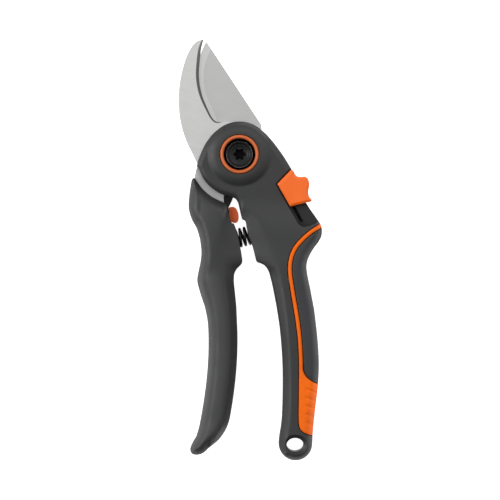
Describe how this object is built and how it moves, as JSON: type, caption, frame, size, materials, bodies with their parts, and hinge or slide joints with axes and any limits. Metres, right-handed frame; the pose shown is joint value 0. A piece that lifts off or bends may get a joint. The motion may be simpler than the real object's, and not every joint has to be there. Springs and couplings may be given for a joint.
{
  "type": "pruning shears",
  "caption": "Bypass pruning shears, closed and locked, with curved counter-blade, sliding thumb lock, coil return spring and soft-grip handle with hang hole.",
  "frame": {"origin": "on the pivot axis, at the closed back face of the pivot nut, in the plane the shears rest on", "axes": "+Y towards the blade tips, +X towards the handle with the thumb lock, +Z along the pivot axis to the front"},
  "size_m": [0.0751, 0.2204, 0.0203],
  "materials": {
    "counter_blade_steel": "fine brushed, satin",
    "cutting_blade_steel": "fine brushed, satin",
    "casing": "glass-filled plastic, fine moulded texture",
    "soft_grip": "soft moulded grip, matt",
    "orange_soft": "soft moulded, satin",
    "orange_plastic": "moulded, satin",
    "orange_rubber": "moulded, matt",
    "black_steel": "black oxide, satin",
    "plain_steel": "plated, satin",
    "nylon": "moulded, matt",
    "bronze": "sintered, matt"
  },
  "bodies": {
    "right_handle": {"counter_blade": "counter_blade_steel", "right_front_shell": "casing", "right_back_shell": "casing", "grip_insert_front": "soft_grip", "grip_insert_back": "soft_grip", "grip_trim_front": "orange_soft", "grip_trim_back": "orange_soft", "pivot_bolt": "black_steel", "pivot_ring": "orange_plastic", "head_washer": "plain_steel", "spring_washer": "plain_steel", "back_washer": "plain_steel", "pivot_nut": "black_steel", "right_spring_seat": "nylon", "lock_detent_spring": "plain_steel", "return_spring": "black_steel", "counter_blade_rivet_upper": "plain_steel", "counter_blade_rivet_lower": "plain_steel", "right_screw_upper": "black_steel", "right_screw_middle": "black_steel", "right_screw_lower": "black_steel"},
    "left_handle": {"cutting_blade": "cutting_blade_steel", "left_front_shell": "casing", "left_back_shell": "casing", "stop_buffer": "orange_rubber", "left_spring_seat": "nylon", "pivot_bush": "bronze", "cutting_blade_rivet_upper": "plain_steel", "cutting_blade_rivet_lower": "plain_steel", "left_screw_upper": "black_steel", "left_screw_middle": "black_steel", "left_screw_lower": "black_steel"},
    "lock": {"lock_slider": "orange_plastic", "lock_bar": "plain_steel", "lock_pin": "plain_steel"}
  },
  "joints": [
    {"name": "pivot_hinge", "type": "hinge", "parent": "right_handle", "child": "left_handle", "pos_m": [0, 0, 0.01], "axis": [0, 0, -1], "range_deg": [-1.5, 30], "stiffness_Nm_per_rad": 0.9, "springref_deg": 42.97, "deforming": ["return_spring"]},
    {"name": "lock_slide", "type": "slide", "parent": "right_handle", "child": "lock", "axis": [0.486, -0.874, 0], "range_m": [0, 0.0075]}
  ]
}
